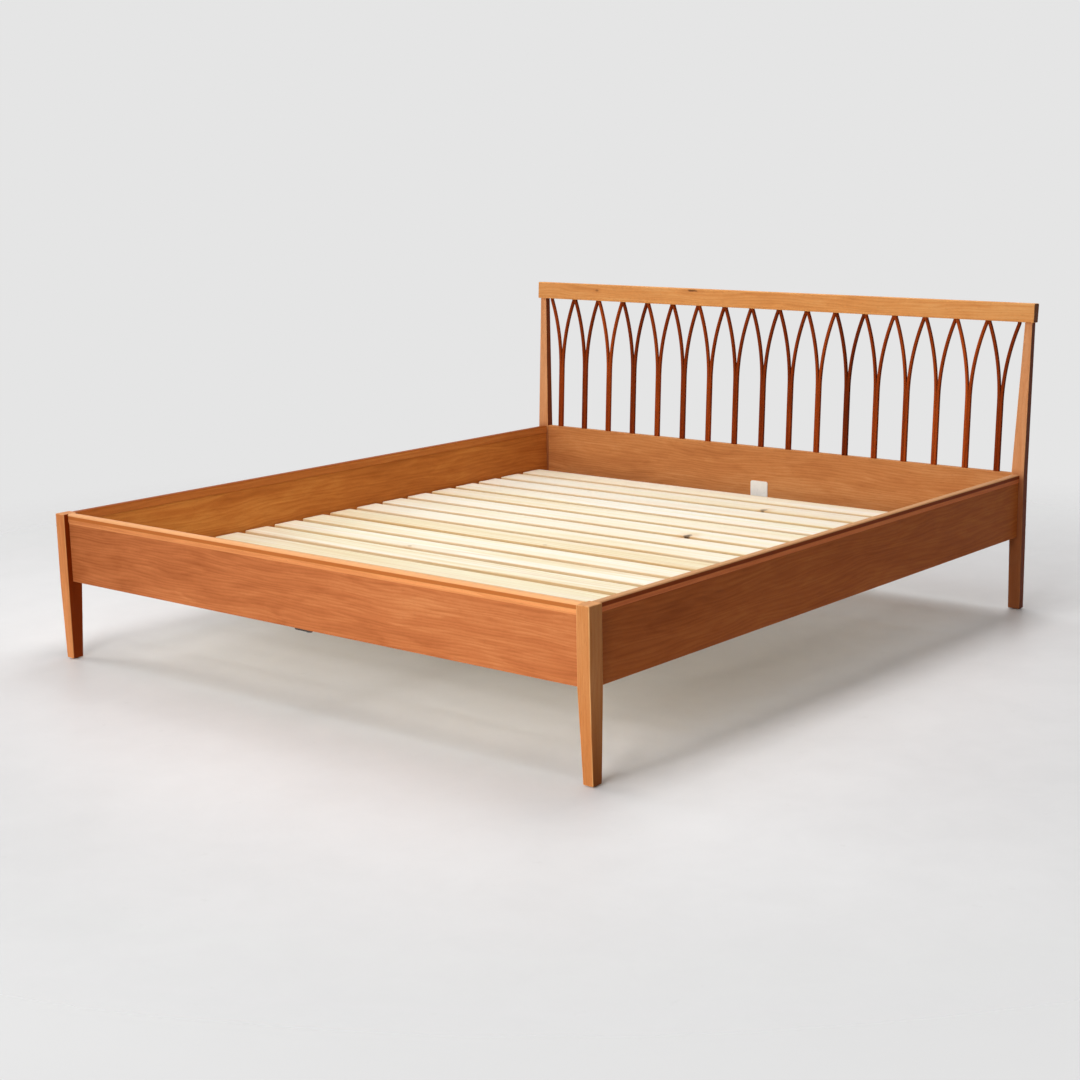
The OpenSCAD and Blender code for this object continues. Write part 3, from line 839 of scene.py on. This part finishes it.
def zinc_metal(name):
    """Zinc-plated steel with its faint drawn lines and dull patches."""
    s = Shader(bpy.data.materials.new(name))
    place = s.place()
    lines = s.drawn_noise(place, DRAWN_LINES, detail=2.0)
    cloud = s.noise(place, scale=120.0, detail=3.0)
    s.principled(
        colour=s.ramp(cloud, ZINC),
        metallic=1.0,
        rough=s.math("MULTIPLY_ADD", cloud, 0.25, 0.22),
        normal=s.bump(lines, strength=0.2, distance=0.0002),
    )
    return s.owner


def screw_metal(name, colour, half_width):
    """Zinc-plated screws, painted over with their bracket where they are near the bed's middle."""
    s = Shader(bpy.data.materials.new(name))
    place = s.place()
    bare = s.math("GREATER_THAN", s.math("ABSOLUTE", s.axes(place)[0]), half_width)
    cloud = s.noise(place, scale=120.0, detail=3.0)
    s.principled(
        colour=s.mix(bare, s.clouded(cloud, colour, dark=0.94), s.ramp(cloud, ZINC)),
        metallic=bare,
        rough=s.math("MULTIPLY_ADD", cloud, 0.2, 0.3),
        normal=s.bump(s.noise(place, scale=900.0), strength=0.3, distance=0.0002),
    )
    return s.owner


def webbing(name):
    """Woven strap: warp and weft threads, and a soft sheen."""
    s = Shader(bpy.data.materials.new(name))
    place = s.place()

    def threads(scale, direction):
        inputs = {"Vector": place, "Scale": scale, "Distortion": 0.6, "Detail": 1.0}
        return s.node("ShaderNodeTexWave", inputs, bands_direction=direction).outputs["Fac"]

    weave = s.math("MULTIPLY", threads(WARP_SCALE, "X"), threads(WEFT_SCALE, "Y"))
    soil = s.math("MULTIPLY", s.noise(place, scale=18.0, detail=4.0), SOIL_SHARE)
    s.principled(
        colour=s.mix(soil, s.ramp(weave, THREADS), SOIL),
        rough=0.85,
        specular=0.2,
        normal=s.bump(weave, strength=0.6, distance=0.0005),
        sheen=0.3,
        sheen_rough=0.4,
    )
    return s.owner


def moulded_plastic(name, colour):
    """Matte moulded plastic with a fine spark-eroded grain."""
    s = Shader(bpy.data.materials.new(name))
    place = s.place()
    cloud = s.noise(place, scale=60.0, detail=3.0)
    s.principled(
        colour=s.clouded(cloud, colour, dark=0.85),
        rough=s.math("MULTIPLY_ADD", cloud, 0.12, 0.50),
        specular=0.4,
        normal=s.bump(s.noise(place, scale=1400.0), strength=0.3, distance=0.0002),
    )
    return s.owner


# Posts
# Painted shade on the posts: how far it fades up a foot post's outer face, and where and how much of it
# covers a head post below the rail tops
OUTER_FADE = 0.74
UNDER_RAILS = FRAME_TOP + 0.012
WELL_UNDER_RAILS = FRAME_TOP - 0.018
UNDER_RAILS_SHADE = 0.75


def leg_share(z):
    """0 at the foot of a leg and 1 from the boards' undersides up."""
    return part_way(z, GLIDE_H, BOARD_BOTTOM)


def foot_post(side, name, material, seed, painted_light_lean):
    """A post at the foot end, with painted shade over its inner face and over its outer face, fading up
    the leg.
    """

    def corners(z):
        t = leg_share(z)
        inner = lerp(HALF_W - FOOT_W, POST_IN, t)
        front = lerp(FOOT_LEAN, 0.0, t)
        back = lerp(FOOT_LEAN + FOOT_D, POST_D, t)
        return rectangle(inner, front, HALF_W, back)

    # painted shade: the inner face dark, the outer face darker towards the floor
    def leg_shade(n, end, z):
        outer = facing(n[0]) * (1.0 - OUTER_FADE * part_way(z, 0.0, BOARD_BOTTOM))
        return (facing(-n[0]) + outer) * (1 - end)

    def place(z, u, v):
        return (side * u, FRONT_Y + v, z)

    piece = Piece(name).loft(FOOT_STATIONS, place, corners, POST_R, POST_END_R, shade=leg_shade)
    return piece.build(material, seed, "post_wood", [name.replace("_turned", "")], painted_light_lean)


def head_post(side, name, seed):
    """A post at the head end, upright to the rail tops and raked above them."""

    def corners(s):
        if s > FRAME_TOP:
            t = (s - FRAME_TOP) / HEAD_H
            inner = lerp(POST_IN, HEAD_OUTER - HEAD_TOP_W, t)
            back = lerp(HEAD_POST_D, HEAD_TOP_D, t)
            return rectangle(inner, 0.0, HEAD_OUTER, back)
        inner = lerp(HEAD_OUTER - HEAD_FOOT_W, POST_IN, leg_share(s))
        return rectangle(inner, 0.0, HEAD_OUTER, HEAD_POST_D)

    # painted shade: both side faces, and every face but the back below the rail tops
    def below_rails(n, end, s):
        side_face = facing(abs(n[0])) * (1 - end)
        low = part_way(s, UNDER_RAILS, WELL_UNDER_RAILS)
        return max(side_face, UNDER_RAILS_SHADE * low * (1 - max(n[1], 0.0)))

    def place(s, u, v):
        if s < FRAME_TOP:
            return (side * u, HEAD_Y + v, s)
        if s == FRAME_TOP:
            return (side * u, HEAD_Y + v, s - v * math.tan(HEAD_RAKE / 2))
        return raked(side * u, v, s - FRAME_TOP)

    piece = Piece(name).loft(
        HEAD_STATIONS, place, corners, HEAD_POST_R, HEAD_POST_END_R, shade=below_rails
    )
    return piece.build(head_post_wood, seed, "post_wood", [name.replace("_turned", "")])


# Rails, panel, edgings and cap
def board(axis, name, node, material, seed, radii, painted_light_lean, slot):
    """A board in the box of its CAD node, its grain across or along the bed.

    A board that lies along the bed has its top marked for painted shade.
    """
    low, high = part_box(node)
    thick = 1 - axis

    def place(s, u, v):
        return (low.x + s, u, v) if axis == ACROSS else (u, low.y + s, v)

    piece = Piece(name).loft(
        [0.0, high[axis] - low[axis]],
        place,
        lambda s: rectangle(low[thick], low.z, high[thick], high.z),
        radii,
        BOARD_END_R,
        shade=(lambda n, end, s: facing(n[1])) if axis == ALONG else None,
    )
    return piece.build(material, seed, slot, [node], painted_light_lean)


def cap(name, seed):
    """The cap rail along the sloping headboard, a little deeper at its top."""
    half = HEAD_OUTER + CAP_SIDE
    outline = [(-CAP_FRONT, 0.0), (CAP_BACK, 0.0), (CAP_TOP_BACK, CAP_H), (-CAP_FRONT, CAP_H)]
    piece = Piece(name).loft(
        [0.0, 2 * half],
        lambda s, u, v: raked(-half + s, u, HEAD_H + v),
        lambda s: outline,
        CAP_RADII,
        CAP_END_R,
        # the end faces darker: darker end grain and painted shade
        shade=lambda n, end, s: end,
    )
    return piece.build(cap_wood, seed, "cap_wood", ["headboard_cap"])


# Spindles
def spindle_path(side):
    """The middle line of one strip: places along it as (s, x, z, slope), up the headboard."""
    arc_start = HEAD_H - ARCH_RISE
    travel = SPINDLE_PITCH / 2 - STRIP_T
    angle = 2 * math.atan(travel / (ARCH_RISE - APEX_JOINT))
    inner = (ARCH_RISE - APEX_JOINT) / math.sin(angle)
    radius = inner + STRIP_T / 2
    centre = inner + STRIP_T
    path = [(STEM_START, STRIP_T / 2, 0.0), (STEM_MIDDLE, STRIP_T / 2, 0.0)]
    for k in range(ARC_STEPS + 1):
        a = angle * k / ARC_STEPS
        path.append((arc_start + radius * math.sin(a), centre - radius * math.cos(a), a))
    path.append((STRIP_END, SPINDLE_PITCH / 2 - STRIP_T / 2, 0.0))
    out, s = [], 0.0
    for k, (z, x, a) in enumerate(path):
        if k:
            s += math.hypot(z - path[k - 1][0], x - path[k - 1][1])
        out.append((s, side * x, z, side * a))
    return out


def spindle(i, name, node, seed):
    """Two strips that part into an arch, each swept along its own path."""
    middle = (i - (SPINDLE_N + 1) / 2) * SPINDLE_PITCH
    piece = Piece(name)
    for side in (LEFT, RIGHT):
        path = spindle_path(side)
        places = {round(s, 6): (x, z, a) for s, x, z, a in path}

        def place(s, u, v, places=places):
            x, z, a = places[round(s, 6)]
            return raked(middle + x + u * math.cos(a), SPINDLE_BACK + v, z - u * math.sin(a))

        piece.loft(
            [s for s, x, z, a in path],
            place,
            lambda s: rectangle(-STRIP_T / 2, -STRIP_D / 2, STRIP_T / 2, STRIP_D / 2),
            STRIP_R,
            grain_start=STRIP_GRAIN * side,
        )
    return piece.build(spindle_wood, seed, "spindle_wood", [node])


# Slats
def slat(name, node, seed):
    """A plank with rounded corners and edges, lofted upwards; its grain runs across the bed."""
    low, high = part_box(node)
    piece = Piece(name).loft(
        [low.z, high.z],
        lambda s, u, v: (u, v, s),
        lambda s: rectangle(low.x, low.y, high.x, high.y),
        SLAT_CORNER,
        SLAT_R,
        # painted shade on the side faces, darker than the tops
        shade=lambda n, end, s: 1 - end,
    )
    piece.grains = [(u, v - low.y, s) for s, u, v in piece.grains]
    return piece.build(slat_wood, seed, "slat_wood", [node])


# The bed; each board with its axis, name, CAD node, wood, seed, radii and lean of its tone,
# the lean a painted light gradient along the board
BOARDS = [
    (ACROSS, "foot_rail_board", "foot_rail", foot_rail_wood, 21, BOARD_R, (-1.5, 1.5)),
    (ALONG, "side_rail_left_board", "side_rail_left", left_rail_wood, 22, BOARD_R, (3.0, -4.0)),
    (ALONG, "side_rail_right_board", "side_rail_right", shaded_right_rail_wood, 23, BOARD_R, NO_LEAN),
    (ACROSS, "panel_board", "headboard_panel", panel_wood, 24, PANEL_RADII, (-1.5, 1.5)),
]
EDGINGS = [
    (ACROSS, "foot_edging", "foot_rail_edging", foot_edging_wood, 31, EDGING_RADII, (-5.0, 0.5)),
    (ALONG, "side_edging_left", "side_rail_edging_left", left_edging_wood, 32, EDGING_RADII, NO_LEAN),
    (ALONG, "side_edging_right", "side_rail_edging_right", right_edging_wood, 33, EDGING_RADII, NO_LEAN),
]
SPINDLE_SEED = 100
SLAT_SEED = 200

foot_post(LEFT, "foot_post_left_turned", left_post_wood, seed=11, painted_light_lean=(-2.0, -3.0))
foot_post(RIGHT, "foot_post_right_turned", near_post_wood, seed=12, painted_light_lean=(0.0, 3.0))
head_post(LEFT, "head_post_left_turned", seed=13)
head_post(RIGHT, "head_post_right_turned", seed=14)
for values in BOARDS:
    board(*values, "board_wood")
for values in EDGINGS:
    board(*values, "edging_wood")
cap("cap_rail", seed=41)
for number in range(1, SPINDLE_N + 1):
    spindle(number, f"spindle_{number:02d}_strips", f"spindle_{number:02d}", SPINDLE_SEED + number)
for number in range(1, SLAT_N + 1):
    slat(f"slat_{number:02d}_plank", f"slat_{number:02d}", SLAT_SEED + number)

# The CAD meshes that stay, with their materials
WHITE = srgb(236, 232, 224)
PAINTED_HALF_W = 0.1
steel = zinc_metal("zinc_steel")
white_paint = painted_metal("white_paint", WHITE, srgb(186, 182, 174))
dark_paint_and_shade = painted_metal("dark_paint_and_shade", srgb(50, 44, 40), srgb(84, 78, 72))
FINISHES = {
    "slat_ledge_left": ledge_wood,
    "slat_ledge_right": ledge_wood,
    "slat_straps": webbing("strap_webbing"),
    "strap_staples": steel,
    "centre_beam": dark_paint_and_shade,
    # painted shade: the foot bracket, the same as the white one at the head, dark where it lies in shade
    "beam_bracket_foot": dark_paint_and_shade,
    "beam_bracket_head": white_paint,
    "beam_bolts": steel,
    "rail_hook_plates": steel,
    "post_slot_plates": steel,
    "plate_screws": steel,
    "board_screws": screw_metal("screw_steel", WHITE, PAINTED_HALF_W),
    "dowels": dowel_wood,
    "post_glides": moulded_plastic("glide_plastic", srgb(96, 74, 58)),
}
for node, material in FINISHES.items():
    nodes[node].data.materials.clear()
    nodes[node].data.materials.append(material)


# Floor and backdrop; the floor's colour runs lighter and darker from one place to another as
# painted light and shade, with a level at each
BACKDROP = srgb(229, 229, 229)
SKY_TONE = (0.97, 0.985, 1.0)
SKY = 0.14
FLOOR = srgb(227, 226, 226)
FLOOR_SPECK = srgb(176, 172, 166)
FLOOR_HALF = 40.0
PATCH_SHARE = 0.7
SPECK_SPAN = (0.66, 0.74)
SPECK_SHARE = 0.10
FLOOR_NEAR_PAINTED_LIGHT = (-2.4, -0.8, 0.80, 1.10)
FLOOR_LEFT_PAINTED_LIGHT = (-2.2, 0.6, 0.94, 1.0)
FLOOR_ROUGH = 0.40
FADE = (1.5, 3.3)


def world():
    """The backdrop as the camera and reflections see it, and a dimmer soft sky for the rest."""
    made = bpy.data.worlds.new("studio")
    bpy.context.scene.world = made
    s = Shader(made, "ShaderNodeOutputWorld")
    rays = s.node("ShaderNodeLightPath").outputs
    seen = s.math("MAXIMUM", rays["Is Camera Ray"], rays["Is Glossy Ray"])
    seen = s.math("MAXIMUM", seen, rays["Is Transmission Ray"])
    sky = s.node("ShaderNodeBackground", {"Color": SKY_TONE, "Strength": SKY})
    wall = s.node("ShaderNodeBackground", {"Color": BACKDROP, "Strength": 1.0})
    mix = s.node("ShaderNodeMixShader", {0: seen, 1: sky.outputs[0], 2: wall.outputs[0]})
    s.feed(s.out.inputs[0], mix.outputs[0])


def floor():
    """A pale polished floor that fades into the backdrop far from the bed."""
    mesh = bpy.data.meshes.new("floor")
    corners = rectangle(-FLOOR_HALF, -FLOOR_HALF, FLOOR_HALF, FLOOR_HALF)
    mesh.from_pydata([(x, y, 0) for x, y in corners], [], [(0, 1, 2, 3)])
    made = add_object("floor", mesh)
    s = Shader(bpy.data.materials.new("studio_floor"))
    place = s.place()
    patch = s.noise(place, scale=7.0, detail=4.0, rough=0.65, twist=0.4)
    cloud = s.noise(place, scale=1.3, detail=5.0, rough=0.6)
    cloud = s.math("MULTIPLY_ADD", s.math("SUBTRACT", patch, 0.5), PATCH_SHARE, cloud)
    speck = s.noise(place, scale=19.0, detail=4.0, rough=0.6)
    speck = s.span(speck, *SPECK_SPAN, to_high=SPECK_SHARE)
    shade = s.mix(speck, s.clouded(cloud, FLOOR, dark=0.95), FLOOR_SPECK)
    axes = s.axes(place)
    # painted light and shade: darker towards the front and the left, lighter under and behind the bed
    near = s.span(axes[1], *FLOOR_NEAR_PAINTED_LIGHT, "SMOOTHSTEP")
    left = s.span(axes[0], *FLOOR_LEFT_PAINTED_LIGHT, "SMOOTHSTEP")
    level = s.math("MULTIPLY", near, left)
    level = s.node("ShaderNodeCombineXYZ", {0: level, 1: level, 2: level}).outputs[0]
    surface = s.principled(
        colour=s.vector("MULTIPLY", shade, level),
        rough=s.math("MULTIPLY_ADD", cloud, 0.10, FLOOR_ROUGH),
        specular=0.25,
    )
    clear = s.node("ShaderNodeBsdfTransparent")
    fade = s.span(s.vector("LENGTH", place), *FADE, kind="SMOOTHSTEP")
    mix = s.node("ShaderNodeMixShader", {0: fade, 1: surface.outputs[0], 2: clear.outputs[0]})
    s.feed(s.out.inputs[0], mix.outputs[0])
    mesh.materials.append(s.owner)


# Lights
def softbox(name, place, target, size, power):
    data = bpy.data.lights.new(name, "AREA")
    data.shape = "RECTANGLE"
    data.size, data.size_y = size
    data.energy = power
    lamp = add_object(name, data)
    lamp.location = place
    lamp.rotation_euler = (Vector(place) - Vector(target)).to_track_quat("Z", "Y").to_euler()


def daylight(name, direction, angle, strength):
    """A wide, even light from far away."""
    data = bpy.data.lights.new(name, "SUN")
    data.energy = strength
    data.angle = math.radians(angle)
    lamp = add_object(name, data)
    lamp.rotation_euler = Vector(direction).to_track_quat("Z", "Y").to_euler()


# Each softbox with its place, target, size and power
SOFTBOXES = {
    "softbox_top": ((0.2, -0.3, 3.4), (0.2, -0.3, 0.3), (1.2, 2.5), 46.0),
    "softbox_back": ((-0.6, 2.2, 4.2), (0.0, 0.0, 0.3), (3.0, 2.5), 85.0),
    "softbox_front": ((-0.6, -5.4, 2.2), (0.0, -0.8, 0.3), (2.6, 1.6), 36.0),
    "softbox_low": ((1.2, -4.4, 1.6), (0.4, -0.8, 0.3), (1.8, 1.2), 90.0),
    "softbox_left": ((-3.2, -1.5, 1.8), (0.0, 0.0, 0.2), (1.2, 1.4), 29.0),
}
world()
floor()
for name, values in SOFTBOXES.items():
    softbox(name, *values)
daylight("far_fill", direction=(-0.1, -1.0, 0.55), angle=40.0, strength=0.3)


# Camera
CAMERA_PLACE = (3.45227, -4.15591, 1.37255)
YAW = math.radians(38.29565)
PITCH = math.radians(11.97814)
ROLL = math.radians(-0.62442)
FOCAL_PX = 1910.732
SHIFT_PX = (71.258, 14.882)
PHOTO_PX = 1080.0
SENSOR_MM = 36.0
CLIP_END = 200.0


def camera():
    """The camera of the photo, with its place, turn, focal length and the shift of its frame."""
    flat = math.cos(PITCH)
    ahead = Vector((-math.sin(YAW) * flat, math.cos(YAW) * flat, -math.sin(PITCH)))
    level = Vector((math.cos(YAW), math.sin(YAW), 0.0))
    above = level.cross(ahead)
    right = level * math.cos(ROLL) + above * math.sin(ROLL)
    up = above * math.cos(ROLL) - level * math.sin(ROLL)
    data = bpy.data.cameras.new("camera")
    data.sensor_width = SENSOR_MM
    data.lens = FOCAL_PX / PHOTO_PX * SENSOR_MM
    data.shift_x = -SHIFT_PX[0] / PHOTO_PX
    data.shift_y = SHIFT_PX[1] / PHOTO_PX
    data.clip_end = CLIP_END
    made = add_object("camera", data)
    turn = Matrix((right, up, -ahead)).transposed().to_4x4()
    made.matrix_world = Matrix.Translation(Vector(CAMERA_PLACE)) @ turn
    bpy.context.scene.camera = made


camera()
bpy.context.scene.view_settings.view_transform = "Standard"


bpy.context.view_layer.update()
